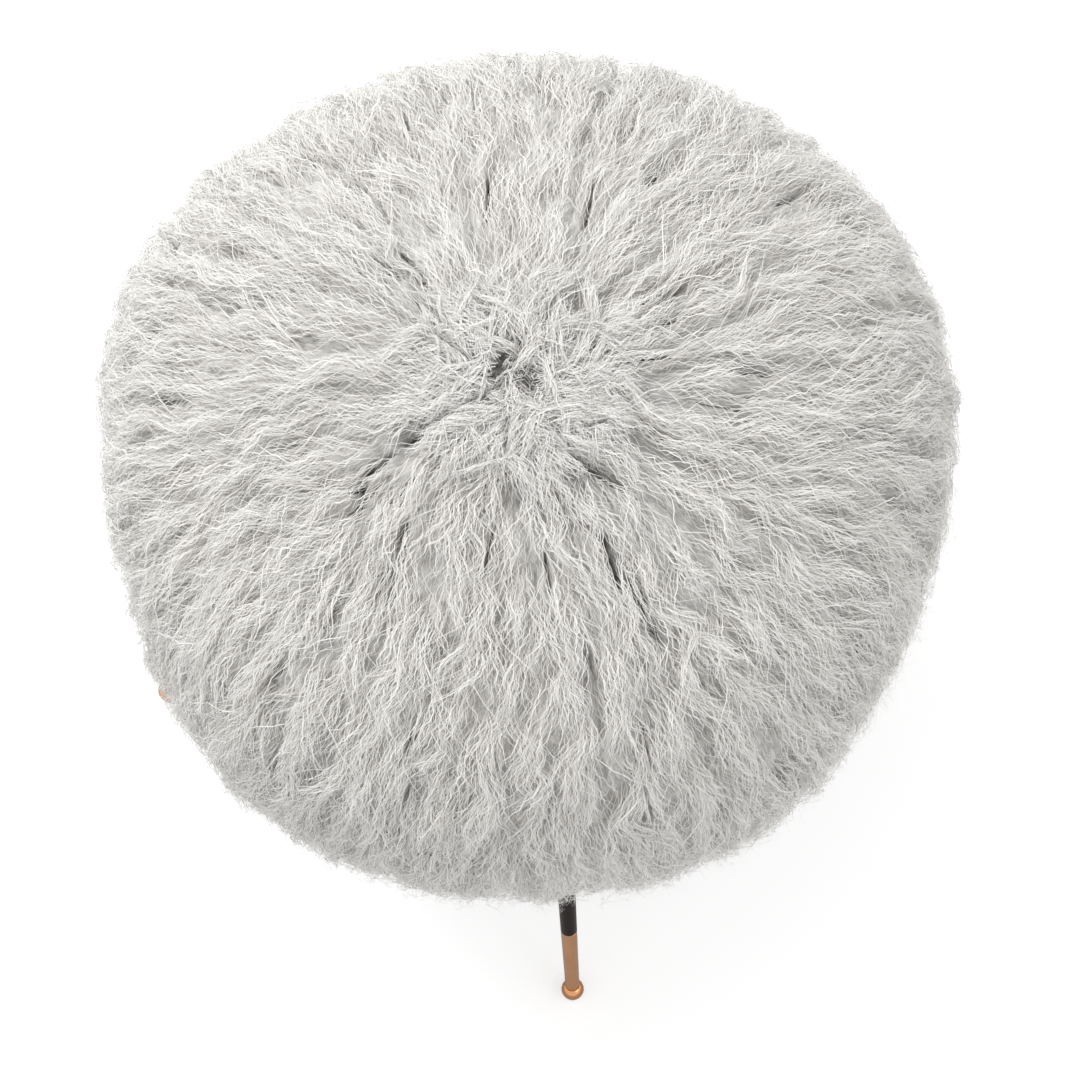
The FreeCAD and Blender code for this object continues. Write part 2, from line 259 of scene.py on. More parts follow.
def pelt_place(s, azimuth, height):
    """Points in space, with their outward normals, for places on the map."""
    r, z, nr, nz = pelt_profile(s)
    reach = (r + height * nr) * fullness(azimuth, r)
    c, d = np.cos(azimuth), np.sin(azimuth)
    points = np.stack([reach * c, reach * d, z + height * nz], axis=-1)
    normals = np.stack([nr * c, nr * d, nz], axis=-1)
    return points, normals


def on_map(s, azimuth, across):
    """Moves places sideways by real metres, and gives their new distance and direction."""
    r = np.maximum(pelt_profile(s)[0], 1 * MM)
    side = across * np.maximum(s, 1 * MM) / r
    return np.hypot(s, side), azimuth + np.arctan2(side, s)


# Partings where the wool falls to both sides and its dark depth shows. Each row
# stands for a dark line picked in the photograph and carried to the map:
# distance of its middle from the whorl (mm), direction (degrees), length (mm),
# half width (mm) and turn off the comb (degrees)
DEEP_PARTINGS = (
    (39, 146, 30, 1.6, -12),
    (18, -151, 21, 1.5, -1),
    (43, -157, 42, 1.3, -3),
    (35, -106, 17, 1.3, 5),
    (8, -33, 14, 1.4, -57),
    (9, 78, 14, 1.1, -11),
    (43, -65, 14, 1.4, -5),
    (66, -59, 33, 2.0, 24),
    (50, -42, 13, 1.0, 59),
    (73, -80, 14, 1.0, 6),
    (113, -71, 30, 2.2, -8),
    (134, -68, 19, 1.9, -2),
    (155, -69, 18, 1.5, -3),
    (173, -84, 45, 2.2, -6),
    (178, -74, 20, 1.2, -17),
    (186, -66, 19, 1.5, 0),
    (156, -46, 18, 1.6, 11),
    (189, -57, 24, 1.3, -2),
    (215, -78, 22, 1.2, -9),
    (109, -133, 22, 1.7, 27),
    (132, -129, 18, 1.5, 9),
    (107, -152, 23, 1.6, 41),
    (159, -170, 22, 1.4, 20),
    (116, 90, 29, 1.2, -9),
    (90, 121, 28, 1.4, -6),
    (43, 56, 17, 1.2, 2),
    (60, 132, 28, 1.2, -9),
)
# Shares by which the rows above are made longer and narrower
PARTING_LONGER = 1.3
PARTING_NARROWER = 0.8
FAINT_PARTINGS = 180


def make_partings(rng):
    """Distance, direction, length, half width and turn of every parting on the map."""
    rows = []
    for distance, direction, length, half, turn in DEEP_PARTINGS:
        length, half = PARTING_LONGER * length * MM, PARTING_NARROWER * half * MM
        rows.append((distance * MM, math.radians(direction), length, half, math.radians(turn)))
    for _ in range(FAINT_PARTINGS):
        distance = math.sqrt(rng.uniform(0.05**2, SKIRT_END**2))
        half = rng.uniform(0.5, 1.2) * MM
        turn = math.radians(rng.normal(0, 8))
        rows.append((distance, rng.uniform(-math.pi, math.pi), rng.uniform(18, 44) * MM, half, turn))
    return rows


def part_wool(partings, s, azimuth, obey=1.0):
    """Moves rows of places to one side of each parting, and says how deep each lies in one."""
    obey = np.broadcast_to(obey, (len(s), 1))
    x, y = s * np.cos(azimuth), s * np.sin(azimuth)
    depth = np.zeros_like(x)
    for distance, direction, length, half, turn in partings:
        squeeze = float(pelt_profile(distance)[0]) / distance
        ux, uy = math.cos(direction + turn), math.sin(direction + turn)
        off_x, off_y = x - distance * math.cos(direction), y - distance * math.sin(direction)
        reach = 0.6 * length + 8 * half / squeeze
        near = ((np.abs(off_x) < reach) & (np.abs(off_y) < reach)).any(axis=1)
        if not near.any():
            continue
        along = off_x[near] * ux + off_y[near] * uy
        across = (off_y[near] * ux - off_x[near] * uy) * squeeze
        window = 1 - smoothstep(0.28 * length, 0.6 * length, np.abs(along))
        weight = window * np.exp(-((across / (5 * half)) ** 2))
        side = np.where((across * weight).sum(axis=1, keepdims=True) < 0, -1.0, 1.0)
        outward = side * across
        shift = half * window * np.exp(-np.maximum(outward, 0) / (3 * half)) 
        shift = shift + 1.35 * window * np.maximum(-outward, 0)
        shift = shift * obey[near]
        gap = window * np.exp(-(((outward + shift) / (1.8 * half)) ** 2))
        depth[near] = np.maximum(depth[near], gap)
        x[near] -= side * shift * uy / squeeze
        y[near] += side * shift * ux / squeeze
    return np.hypot(x, y), np.arctan2(y, x), depth


# Locks of wool, laid like shingles from the whorl to the hem, with short tufts
# that lie every way at the whorl
CROWN_LOCKS = 190
CROWN_REACH = 44 * MM


def make_locks(rng, settings):
    """Root, heading, length, width and lift of every lock."""
    rows = []
    s = 2 * MM
    while s < SKIRT_END - 14 * MM:
        r = max(float(pelt_profile(s)[0]), 8 * MM)
        count = round(2 * math.pi * r / settings.lock_spacing)
        start = rng.uniform(0, 2 * math.pi)
        for index in range(count):
            azimuth = start + 2 * math.pi * (index + rng.uniform(-0.3, 0.3)) / count
            rows.append((max(s + rng.uniform(-0.5, 0.5) * settings.lock_step, 0.5 * MM), azimuth))
        s += settings.lock_step
    for _ in range(CROWN_LOCKS):
        rows.append((CROWN_REACH * math.sqrt(rng.uniform(0, 1)), rng.uniform(-math.pi, math.pi)))
    root = np.array(rows)
    count = len(root)
    s, a = root[:, 0], root[:, 1]
    crown = np.arange(count) >= count - CROWN_LOCKS
    drift = 7 * np.sin(3 * a + 14 * s + 0.7) + 6 * np.sin(7 * a - 31 * s + 2.1)
    drift = drift + 4 * np.sin(11 * a + 47 * s)
    return {
        "s": s,
        "azimuth": a,
        "heading": np.radians(drift + rng.normal(0, 1, count) * np.where(crown, 60, 7)),
        "length": settings.lock_length * rng.uniform(0.75, 1.3, count) * np.where(crown, 0.5, 1.0),
        "lift": rng.normal(0, 1.3 * MM, count) * (1 + 0.6 * smoothstep(DOME_END, SIDE_END, s)),
        "sway": rng.normal(0, 2.2 * MM, count),
        "sway_length": rng.uniform(30, 55, count) * MM,
        "sway_phase": rng.uniform(0, 2 * math.pi, count),
        "half_width": settings.lock_spacing * rng.uniform(0.36, 0.58, count),
        "tint_and_shade": rng.normal(0, 0.05, count),
    }


def lock_line(locks, pick, t):
    """Distance, direction and sideways shift of the middles of locks along their lengths."""
    reach = locks["length"][pick, None] * t
    s = locks["s"][pick, None] + reach * np.cos(locks["heading"][pick, None])
    wave = 2 * math.pi * reach / locks["sway_length"][pick, None] + locks["sway_phase"][pick, None]
    swing = np.sin(wave) - np.sin(locks["sway_phase"][pick, None])
    across = reach * np.sin(locks["heading"][pick, None]) + locks["sway"][pick, None] * swing
    return s, np.broadcast_to(locks["azimuth"][pick, None], s.shape), across


STRAND_POINTS = 10
ROOT_DEPTH = 6 * MM
LOCK_DOME = 5 * MM
# Share by which a lock narrows towards its tip
LOCK_TAPER = 0.62
# Two curls of a strand: shortest and longest wave, and swing (mm)
CURLS = ((4.5, 8, 0.8), (10, 20, 1.2))
# Share of strands that stray, and how far (degrees) those and the others do
STRAY_SHARE = 0.22
STRAY_WIDE = 28
STRAY_SLIGHT = 12


def strand_paths(rng, locks, pick, partings, settings, wild=1.0, proud=0.0, rise=0.0):
    """Points, facing directions and tints of one strand for each lock number in pick; the tints hold
    painted shade and painted light as well as each strand's own tone.
    """
    count = len(pick)
    own = np.linspace(0, 1, STRAND_POINTS)[None, :]
    share = np.sqrt(locks["length"][pick] / settings.lock_length)
    length = (settings.strand_length * share * rng.uniform(0.65, 1.3, count))[:, None]
    start = rng.uniform(-0.05, 0.65, count)[:, None]
    left = (SKIRT_END + rng.uniform(-4, 9, count) * MM - locks["s"][pick])[:, None]
    start = np.minimum(start, np.maximum(left - 9 * MM, 0) / locks["length"][pick, None])
    length = np.minimum(length, np.maximum(left - start * locks["length"][pick, None], 7 * MM))
    t = start + own * length / locks["length"][pick, None]
    s, azimuth, across = lock_line(locks, pick, t)
    offset = rng.uniform(-1, 1, count)
    layer = rng.uniform(0, 1, count) ** 1.4
    whorl = 1 - smoothstep(12 * MM, 42 * MM, locks["s"][pick, None])
    outer = smoothstep(DOME_END - 50 * MM, SIDE_END, locks["s"][pick])
    gather = 1 - LOCK_TAPER * smoothstep(0.45, 1.15, t) * (1 - 0.8 * whorl)
    across = across + offset[:, None] * locks["half_width"][pick, None] * gather
    height = locks["lift"][pick, None] - 4 * MM + 5.5 * MM * smoothstep(0, 0.7, t)
    height = height - 2 * MM * smoothstep(0.8, 1.2, t)
    height = height + (LOCK_DOME * (1 - offset**2) - LOCK_DOME * layer)[:, None]
    height = height + rise + proud * own**1.5 + 4 * MM * whorl * (1 - smoothstep(0, 0.7, t))
    height = height + (outer * rng.uniform(-1, 4, count))[:, None] * MM * own**2
    height = height - ROOT_DEPTH * (1 - 0.6 * whorl) * (1 - smoothstep(0, 0.3, own))
    strays = np.where(rng.uniform(0, 1, count) < STRAY_SHARE, STRAY_WIDE, STRAY_SLIGHT)
    stray = np.radians(strays * rng.normal(0, 1, count) * wild)
    across = across + own * length * np.tan(np.clip(stray, -0.9, 0.9))[:, None]
    for wave_low, wave_high, size in CURLS:
        moves = []
        for _ in range(2):
            wave = rng.uniform(wave_low, wave_high, count)[:, None] * MM
            phase = rng.uniform(0, 2 * math.pi, count)[:, None]
            amount = (size * MM * wild * rng.uniform(0.3, 1.5, count))[:, None] * (0.45 + 0.55 * own)
            amount = amount * (1 + 0.7 * whorl)
            moves.append(amount * np.sin(2 * math.pi * own * length / wave + phase))
        across = across + moves[0]
        height = height + 0.75 * moves[1]
    jitter = rng.normal(0, 0.22 * MM * wild, (3, count, STRAND_POINTS))
    s, azimuth = on_map(s + jitter[2], azimuth, across + jitter[0])
    obey = np.minimum(rng.uniform(0.2, 1.6, (count, 1)), 1.0) * (1 - 0.3 * whorl)
    s, azimuth, depth = part_wool(partings, s, azimuth, obey)
    height = height + jitter[1] - 4 * MM * depth
    points, normals = pelt_place(s, azimuth, height)
    # Painted shade and light in the tint: strands of the lower layers are darker, and strands in the
    # middle of a lock, on its top, are lighter; the rest is each lock's and strand's own tone. Towards the
    # side the spread is smaller and the tone a little lighter.
    contrast = 1.15 - 0.6 * outer
    tint_and_shade = locks["tint_and_shade"][pick] + rng.normal(0, 0.08, count) - 0.26 * layer + 0.10 * (1 - offset**2)
    tint_and_shade = 0.60 + 0.04 * outer + contrast * tint_and_shade
    return points, normals, np.clip(tint_and_shade, 0.02, 0.98)


def ribbon_mesh(name, rng, points, normals, tint_and_shade, width):
    """Flat tapering ribbons along the paths, with a map on each of length and of tint, which holds painted
    shade and painted light.
    """
    count, steps, _ = points.shape
    tangent = np.gradient(points, axis=1)
    tangent /= np.maximum(np.linalg.norm(tangent, axis=2, keepdims=True), 1e-9)
    level = np.cross(normals, tangent)
    level /= np.maximum(np.linalg.norm(level, axis=2, keepdims=True), 1e-9)
    t = np.linspace(0, 1, steps)[None, :]
    tilt = rng.normal(0, 0.5, count)[:, None] + rng.normal(0, 0.8, count)[:, None] * t
    side = level * np.cos(tilt)[..., None] + np.cross(tangent, level) * np.sin(tilt)[..., None]
    taper = (1 - 0.65 * t**1.5) * rng.uniform(0.6, 1.4, count)[:, None]
    half = side * (width * taper / 2)[..., None]
    verts = np.stack([points - half, points + half], axis=2).reshape(-1, 3)
    base = (np.arange(count)[:, None] * steps + np.arange(steps - 1)[None, :]) * 2
    quads = np.stack([base, base + 1, base + 3, base + 2], axis=-1).reshape(-1, 4)
    mesh = bpy.data.meshes.new(name)
    mesh.vertices.add(len(verts))
    mesh.vertices.foreach_set("co", verts.astype(np.float32).ravel())
    mesh.loops.add(quads.size)
    mesh.loops.foreach_set("vertex_index", quads.astype(np.int32).ravel())
    mesh.polygons.add(len(quads))
    mesh.polygons.foreach_set("loop_start", np.arange(0, quads.size, 4, dtype=np.int32))
    mesh.update(calc_edges=True)
    column = 0.004
    u = np.repeat(np.stack([tint_and_shade - column, tint_and_shade + column], axis=1)[:, None, :], steps, axis=1)
    v = np.repeat(np.repeat(t, count, 0)[..., None], 2, axis=2)
    uv = np.stack([u, v], axis=-1).reshape(-1, 2)[quads.ravel()]
    layer = mesh.uv_layers.new(name="OFBake")
    layer.data.foreach_set("uv", uv.astype(np.float32).ravel())
    mesh.validate()
    piece = bpy.data.objects.new(name, mesh)
    bpy.context.scene.collection.objects.link(piece)
    mesh.shade_smooth()
    return piece


# Shared shader groups


GROUPS = {}


def make_group(name, inputs, outputs):
    """Empty shader group with named inputs (name, kind, value) and outputs (name, kind)."""
    group = bpy.data.node_groups.new(name, "ShaderNodeTree")
    for label, kind, value in inputs:
        socket = group.interface.new_socket(label, in_out="INPUT", socket_type=kind)
        if value is not None:
            socket.default_value = value
    for label, kind in outputs:
        group.interface.new_socket(label, in_out="OUTPUT", socket_type=kind)
    return group, group.nodes.new("NodeGroupInput"), group.nodes.new("NodeGroupOutput")


def grain_group():
    """Uneven grain: a mask of slow patches and a height of fine grain."""
    group, into, out = make_group(
        "Fine grain",
        [("Vector", "NodeSocketVector", None), ("Patch scale", "NodeSocketFloat", 40.0),
         ("Grain scale", "NodeSocketFloat", 900.0)],
        [("Patches", "NodeSocketFloat"), ("Grain", "NodeSocketFloat")],
    )
    for scale, label, detail in (("Patch scale", "Patches", 4.0), ("Grain scale", "Grain", 3.0)):
        noise = group.nodes.new("ShaderNodeTexNoise")
        noise.inputs["Detail"].default_value = detail
        group.links.new(into.outputs["Vector"], noise.inputs["Vector"])
        group.links.new(into.outputs[scale], noise.inputs["Scale"])
        group.links.new(noise.outputs["Fac"], out.inputs[label])
    return group


def weave_group():
    """Plain weave: a height of crossing threads, uneven from thread to thread."""
    group, into, out = make_group(
        "Plain weave",
        [("Vector", "NodeSocketVector", None), ("Threads", "NodeSocketFloat", 900.0)],
        [("Weave", "NodeSocketFloat")],
    )
    total = group.nodes.new("ShaderNodeMath")
    total.operation = "MAXIMUM"
    for index, direction in enumerate(("X", "Y")):
        wave = group.nodes.new("ShaderNodeTexWave")
        wave.wave_type = "BANDS"
        wave.bands_direction = direction
        wave.inputs["Distortion"].default_value = 0.8
        wave.inputs["Detail"].default_value = 1.0
        group.links.new(into.outputs["Vector"], wave.inputs["Vector"])
        group.links.new(into.outputs["Threads"], wave.inputs["Scale"])
        group.links.new(wave.outputs["Fac"], total.inputs[index])
    group.links.new(total.outputs["Value"], out.inputs["Weave"])
    return group


def shared_group(name, maker):
    if name not in GROUPS:
        GROUPS[name] = maker()
    return GROUPS[name]


class Shader:
    """A material with its Principled shader, and short ways to add nodes to it."""

    def __init__(self, name):
        self.material = bpy.data.materials.new(name)
        self.material.use_nodes = True
        self.tree = self.material.node_tree
        self.bsdf = self.tree.nodes["Principled BSDF"]

    def node(self, kind, **values):
        made = self.tree.nodes.new(kind)
        for key, value in values.items():
            made.inputs[key].default_value = value
        return made

    def link(self, start, stop):
        self.tree.links.new(start, stop)

    def set(self, **values):
        for key, value in values.items():
            self.bsdf.inputs[key.replace("_", " ")].default_value = value

    def place(self):
        return self.tree.nodes.new("ShaderNodeTexCoord").outputs["Object"]

    def group(self, name, maker, **values):
        made = self.tree.nodes.new("ShaderNodeGroup")
        made.node_tree = shared_group(name, maker)
        for key, value in values.items():
            made.inputs[key.replace("_", " ")].default_value = value
        return made

    def ramp(self, factor, stops, socket=None):
        """Colour ramp from a factor, with (place, colour) stops."""
        made = self.tree.nodes.new("ShaderNodeValToRGB")
        elements = made.color_ramp.elements
        while len(elements) < len(stops):
            elements.new(0.5)
        for element, (place, colour) in zip(elements, stops):
            element.position = place
            element.color = (*colour, 1) if len(colour) == 3 else colour
        self.link(factor, made.inputs["Fac"])
        if socket is not None:
            self.link(made.outputs["Color"], socket)
        return made

    def span(self, value, low, high, socket=None):
        """Maps 0..1 to low..high."""
        made = self.tree.nodes.new("ShaderNodeMapRange")
        made.inputs["To Min"].default_value = low
        made.inputs["To Max"].default_value = high
        self.link(value, made.inputs["Value"])
        if socket is not None:
            self.link(made.outputs["Result"], socket)
        return made.outputs["Result"]

    def multiply(self, first, second):
        """Base colour from two colours multiplied."""
        mix = self.tree.nodes.new("ShaderNodeMix")
        mix.data_type = "RGBA"
        mix.blend_type = "MULTIPLY"
        mix.inputs["Factor"].default_value = 1.0
        self.link(first, mix.inputs["A"])
        self.link(second, mix.inputs["B"])
        self.link(mix.outputs["Result"], self.bsdf.inputs["Base Color"])

    def bump(self, height, distance, strength=1.0):
        made = self.tree.nodes.new("ShaderNodeBump")
        made.inputs["Distance"].default_value = distance
        made.inputs["Strength"].default_value = strength
        self.link(height, made.inputs["Height"])
        self.link(made.outputs["Normal"], self.bsdf.inputs["Normal"])


def mixed(a, b, share):
    return tuple(x + (y - x) * share for x, y in zip(a, b))


def wool_strand_material(settings):
    """Strand colour from its own map: tint across, with its painted shade and painted light, root to tip
    along.
    """
    shader = Shader("wool strands")
    uv = shader.tree.nodes.new("ShaderNodeUVMap")
    uv.uv_map = "OFBake"
    parts = shader.tree.nodes.new("ShaderNodeSeparateXYZ")
    shader.link(uv.outputs["UV"], parts.inputs["Vector"])
    tip = tuple(settings.tip_colour)
    root = tuple(settings.root_colour)
    length = shader.ramp(
        parts.outputs["Y"], [(0.0, root), (0.35, mixed(root, tip, 0.75)), (0.75, tip), (1.0, tip)]
    )
    # Across the map: each strand's tone with its painted shade and painted light, from darkest to lightest
    tint_and_shade = shader.ramp(
        parts.outputs["X"],
        [
            (0.0, (0.74, 0.725, 0.70)), (0.35, (0.92, 0.91, 0.90)),
            (0.6, (1.0, 1.0, 1.0)), (1.0, (1.06, 1.06, 1.06)),
        ],
    )
    shader.multiply(length.outputs["Color"], tint_and_shade.outputs["Color"])
    shader.set(Roughness=0.62, Specular_IOR_Level=0.25, Sheen_Weight=0.15)
    return shader.material


def wool_mass_material(settings):
    """Dense wool under the strands, with shade painted dark into the partings, the creases between locks
    and the whorl, streaked along the comb.
    """
    shader = Shader("wool undercoat")
    depth = shader.tree.nodes.new("ShaderNodeAttribute")
    depth.attribute_name = "painted_wool_shade"
    comb = shader.tree.nodes.new("ShaderNodeAttribute")
    comb.attribute_name = "wool_comb"
    streaks = shader.node("ShaderNodeTexNoise", Scale=1.0, Detail=5.0, Roughness=0.65, Distortion=1.2)
    shader.link(comb.outputs["Vector"], streaks.inputs["Vector"])
    root = tuple(settings.root_colour)
    deep = tuple(settings.crevice_shade_colour)
    # Painted shade: the undercoat goes from the root colour towards the dark crevice colour where the
    # attribute is high
    colour = shader.ramp(depth.outputs["Fac"], [(0.0, root), (0.35, mixed(root, deep, 0.3)), (0.8, deep)])
    shade = shader.ramp(streaks.outputs["Fac"], [(0.32, (0.62, 0.62, 0.62)), (0.66, (1.2, 1.2, 1.2))])
    shader.multiply(colour.outputs["Color"], shade.outputs["Color"])
    shader.set(Roughness=0.85, Specular_IOR_Level=0.15)
    shader.bump(streaks.outputs["Fac"], 1.5 * MM, 0.9)
    return shader.material


def metal_material(name, colour, metallic, roughness, spread, specular=0.5):
    """Smooth finish with faint handling marks in its roughness."""
    shader = Shader(name)
    grain = shader.group("grain", grain_group, Patch_scale=90.0, Grain_scale=1600.0)
    shader.link(shader.place(), grain.inputs["Vector"])
    shader.ramp(
        grain.outputs["Patches"],
        [(0.3, tuple(0.93 * c for c in colour)), (0.7, tuple(min(1.0, 1.04 * c) for c in colour))],
        shader.bsdf.inputs["Base Color"],
    )
    rough = shader.bsdf.inputs["Roughness"]
    shader.span(grain.outputs["Patches"], roughness - spread, roughness + spread, rough)
    shader.set(Metallic=metallic, Specular_IOR_Level=specular)
    shader.bump(grain.outputs["Grain"], 0.02 * MM, 0.3)
    return shader.material


# Building the pieces


MASS_DEPTH = 6.5 * MM
# Extra depth of the undercoat at the whorl, where it has no ridges
WHORL_DIP = 2 * MM
MASS_STEPS = 400
MASS_RING = 3.0 * MM
# Streaks of the undercoat: units round the whorl for each radian, and length of one
COMB_TURNS = 110.0
COMB_LENGTH = 9 * MM


def build_wool_mass(settings, rng, locks, partings):
    """Closed undercoat with a ridge under every lock and a valley at every parting."""
    ring_count = round(SKIRT_END / MASS_RING)
    distances = np.linspace(0, SKIRT_END, ring_count + 1)
    r, z, _, _ = pelt_profile(distances)
    outline = [(float(a), float(b)) for a, b in zip(r, z)]
    outline[0] = (0.0, outline[0][1])
    wall = (HIDE_HIGH[0] - HIDE_LOW[0]) / 2 + 0.5 * MM
    hide_top = HIDE_HIGH[2] + 0.5 * MM
    outline += [
        (outline[-1][0] - 5 * MM, PELT_FOOT - 1 * MM),
        (outline[-1][0] - 11 * MM, PELT_FOOT + 3 * MM),
        (wall - 1 * MM, HIDE_LOW[2] + 2 * MM),
        (wall, 340 * MM),
        (wall - 6 * MM, 395 * MM),
        (wall - 30 * MM, 428 * MM),
        (wall - 90 * MM, hide_top - 3 * MM),
        (0.0, hide_top),
    ]
    piece = lathe("wool_undercoat", outline, MASS_STEPS)
    mesh = piece.data
    co = np.empty(len(mesh.vertices) * 3, dtype=np.float32)
    mesh.vertices.foreach_get("co", co)
    co = co.reshape(-1, 3).astype(float)
    radius = np.hypot(co[:, 0], co[:, 1])
    azimuth = np.arctan2(co[:, 1], co[:, 0])
    # Distance along the outline, found from the nearest ring of the outer skin
    ring = np.argmin(np.hypot(radius[:, None] - r[None, :], co[:, 2][:, None] - z[None, :]), axis=1)
    miss = np.hypot(radius - r[ring], co[:, 2] - z[ring])
    outer = miss < 0.3 * MM
    s = distances[ring]
    tree, owners = lock_tree(locks)
    crease = np.zeros(len(co))
    for index in np.nonzero(outer)[0]:
        flat = (s[index] * math.cos(azimuth[index]), s[index] * math.sin(azimuth[index]), 0)
        near = tree.find_n(flat, 12)
        best = near[0][2]
        rival = next((dist for _, other, dist in near if owners[other] != owners[near[0][1]]), near[-1][2])
        crease[index] = 1 - min(1.0, (rival - best) / (6 * MM))
    deep = np.zeros(len(co))
    deep[outer] = part_wool(partings, s[outer, None], azimuth[outer, None])[2][:, 0]
    open_wool = smoothstep(1 * MM, 18 * MM, s)
    relief = 3.0 * MM * crease**2 + 12 * MM * deep
    height = -MASS_DEPTH - open_wool * relief - (1 - open_wool) * WHORL_DIP
    moved, _ = pelt_place(s, azimuth, height)
    start, _ = pelt_place(s, azimuth, np.zeros(len(co)))
    fade = 1 - smoothstep(SKIRT_END - 12 * MM, SKIRT_END, s)
    moved = start + (moved - start) * np.maximum(fade, 0.25)[:, None]
    co[outer] = moved[outer]
    lip = ~outer & (co[:, 2] < HIDE_LOW[2] - 20 * MM)
    co[lip, :2] *= fullness(azimuth, radius)[lip, None]
    mesh.vertices.foreach_set("co", co.astype(np.float32).ravel())
    # Painted shade for the undercoat's colour: darkest in the partings, darker in the creases between
    # locks, and a fixed share at the whorl
    layer = mesh.attributes.new("painted_wool_shade", "FLOAT", "POINT")
    shade = open_wool * (0.25 * crease**2 + deep) + 0.35 * (1 - open_wool)
    layer.data.foreach_set("value", np.clip(shade, 0, 1).astype(np.float32))
    comb = np.stack([COMB_TURNS * np.cos(azimuth), COMB_TURNS * np.sin(azimuth), s / COMB_LENGTH], axis=-1)
    layer = mesh.attributes.new("wool_comb", "FLOAT_VECTOR", "POINT")
    layer.data.foreach_set("vector", comb.astype(np.float32).ravel())
    mesh.update()
    set_material(piece, wool_mass_material(settings))
    settle(piece, ["fur_pile"])
    return piece


def lock_tree(locks):
    """Search tree over the middles of the locks on the flat map."""
    pick = np.arange(len(locks["s"]))
    t = np.linspace(0.2, 0.9, 6)[None, :]
    s, azimuth, across = lock_line(locks, pick, t)
    s, azimuth = on_map(s, azimuth, across)
    flat = np.stack([s * np.cos(azimuth), s * np.sin(azimuth)], axis=-1).reshape(-1, 2)
    tree = KDTree(len(flat))
    for index, (x, y) in enumerate(flat):
        tree.insert((x, y, 0), index)
    tree.balance()
    return tree, np.repeat(pick, 6)


LOCK_PIECES = 9
FLYAWAYS = 9500
HEM_STRANDS = 3000


def build_wool_locks(settings, rng, locks, partings):
    """Strands of every lock, in sectors round the seat, and loose strands over them."""
    material = wool_strand_material(settings)
    sector = ((locks["azimuth"] % (2 * math.pi)) / (2 * math.pi) * LOCK_PIECES).astype(int) % LOCK_PIECES
    for number in range(LOCK_PIECES):
        pick = np.repeat(np.nonzero(sector == number)[0], settings.strands_per_lock)
        points, normals, tint_and_shade = strand_paths(rng, locks, pick, partings, settings)
        piece = ribbon_mesh(
            "wool_locks_%02d" % (number + 1), rng, points, normals, tint_and_shade, settings.strand_width
        )
        set_material(piece, material)
        settle(piece)
    weight = 0.3 + smoothstep(DOME_END - 60 * MM, DOME_END, locks["s"])
    pick = rng.choice(len(locks["s"]), FLYAWAYS, p=weight / weight.sum())
    points, normals, tint_and_shade = strand_paths(rng, locks, pick, partings, settings, wild=1.5, proud=7 * MM)
    piece = ribbon_mesh("wool_flyaways", rng, points, normals, tint_and_shade, 0.6 * settings.strand_width)
    set_material(piece, material)
    settle(piece)
    hanging = np.nonzero(locks["s"] > SKIRT_END - 75 * MM)[0]
    pick = rng.choice(hanging, HEM_STRANDS)
    points, normals, tint_and_shade = strand_paths(rng, locks, pick, partings, settings, rise=-12 * MM)
    piece = ribbon_mesh("wool_inner_hem", rng, points, normals, tint_and_shade, 1.3 * settings.strand_width)
    set_material(piece, material)
    settle(piece)


# Layers of the cushion under the wool, and the cloth under the seat


CUSHION_SIDE = 190 * MM
CUSHION_TOP = 434 * MM
CUSHION_BULGE = 3.5 * MM
WIDEST_OVER_BOARD = 70 * MM
CROWN_RADIUS = 600 * MM
SHOULDER_RADIUS = 50 * MM
SIDE_CURVE = (WIDEST_OVER_BOARD**2 + CUSHION_BULGE**2) / (2 * CUSHION_BULGE)


def arc_points(centre_r, centre_z, radius, start, stop, steps):
    angles = np.linspace(start, stop, steps)
    return [(centre_r + radius * math.cos(a), centre_z + radius * math.sin(a)) for a in angles]


def cushion_outline(offset, low_z):
    """Radius and height of points from the top on the axis down to low_z, grown by offset."""
    side_r, crown_z = CUSHION_SIDE - SIDE_CURVE, CUSHION_TOP - CROWN_RADIUS
    to_crown, to_side = CROWN_RADIUS - SHOULDER_RADIUS, SIDE_CURVE - SHOULDER_RADIUS
    apart = math.hypot(side_r, WIDEST_Z - crown_z)
    along = (to_crown**2 - to_side**2 + apart**2) / (2 * apart)
    off = math.sqrt(to_crown**2 - along**2)
    ur, uz = side_r / apart, (WIDEST_Z - crown_z) / apart
    centre_r, centre_z = along * ur + off * uz, crown_z + along * uz - off * ur
    crown_end = math.atan2(centre_z - crown_z, centre_r)
    side_start = math.atan2(centre_z - WIDEST_Z, centre_r - side_r)
    side_end = math.asin((low_z - WIDEST_Z) / (SIDE_CURVE + offset))
    points = arc_points(0, crown_z, CROWN_RADIUS + offset, math.pi / 2, crown_end, 20)
    points += arc_points(centre_r, centre_z, SHOULDER_RADIUS + offset, crown_end, side_start, 9)[1:]
    points += arc_points(side_r, WIDEST_Z, SIDE_CURVE + offset, side_start, side_end, 14)[1:]
    return [(0.0, points[0][1])] + points[1:]


def turned_area(outline):
    """Area of the skin that an outline sweeps round the Z axis."""
    pairs = zip(outline, outline[1:])
    return sum(math.pi * (r0 + r1) * math.hypot(r1 - r0, z1 - z0) for (r0, z0), (r1, z1) in pairs)


LAYER_STEPS = 96


def build_shell(name, inner, outer, edge=()):
    """Closed layer between two offsets of the cushion, with the edge's points between."""
    return lathe(name, outer + list(edge) + list(reversed(inner)), LAYER_STEPS)


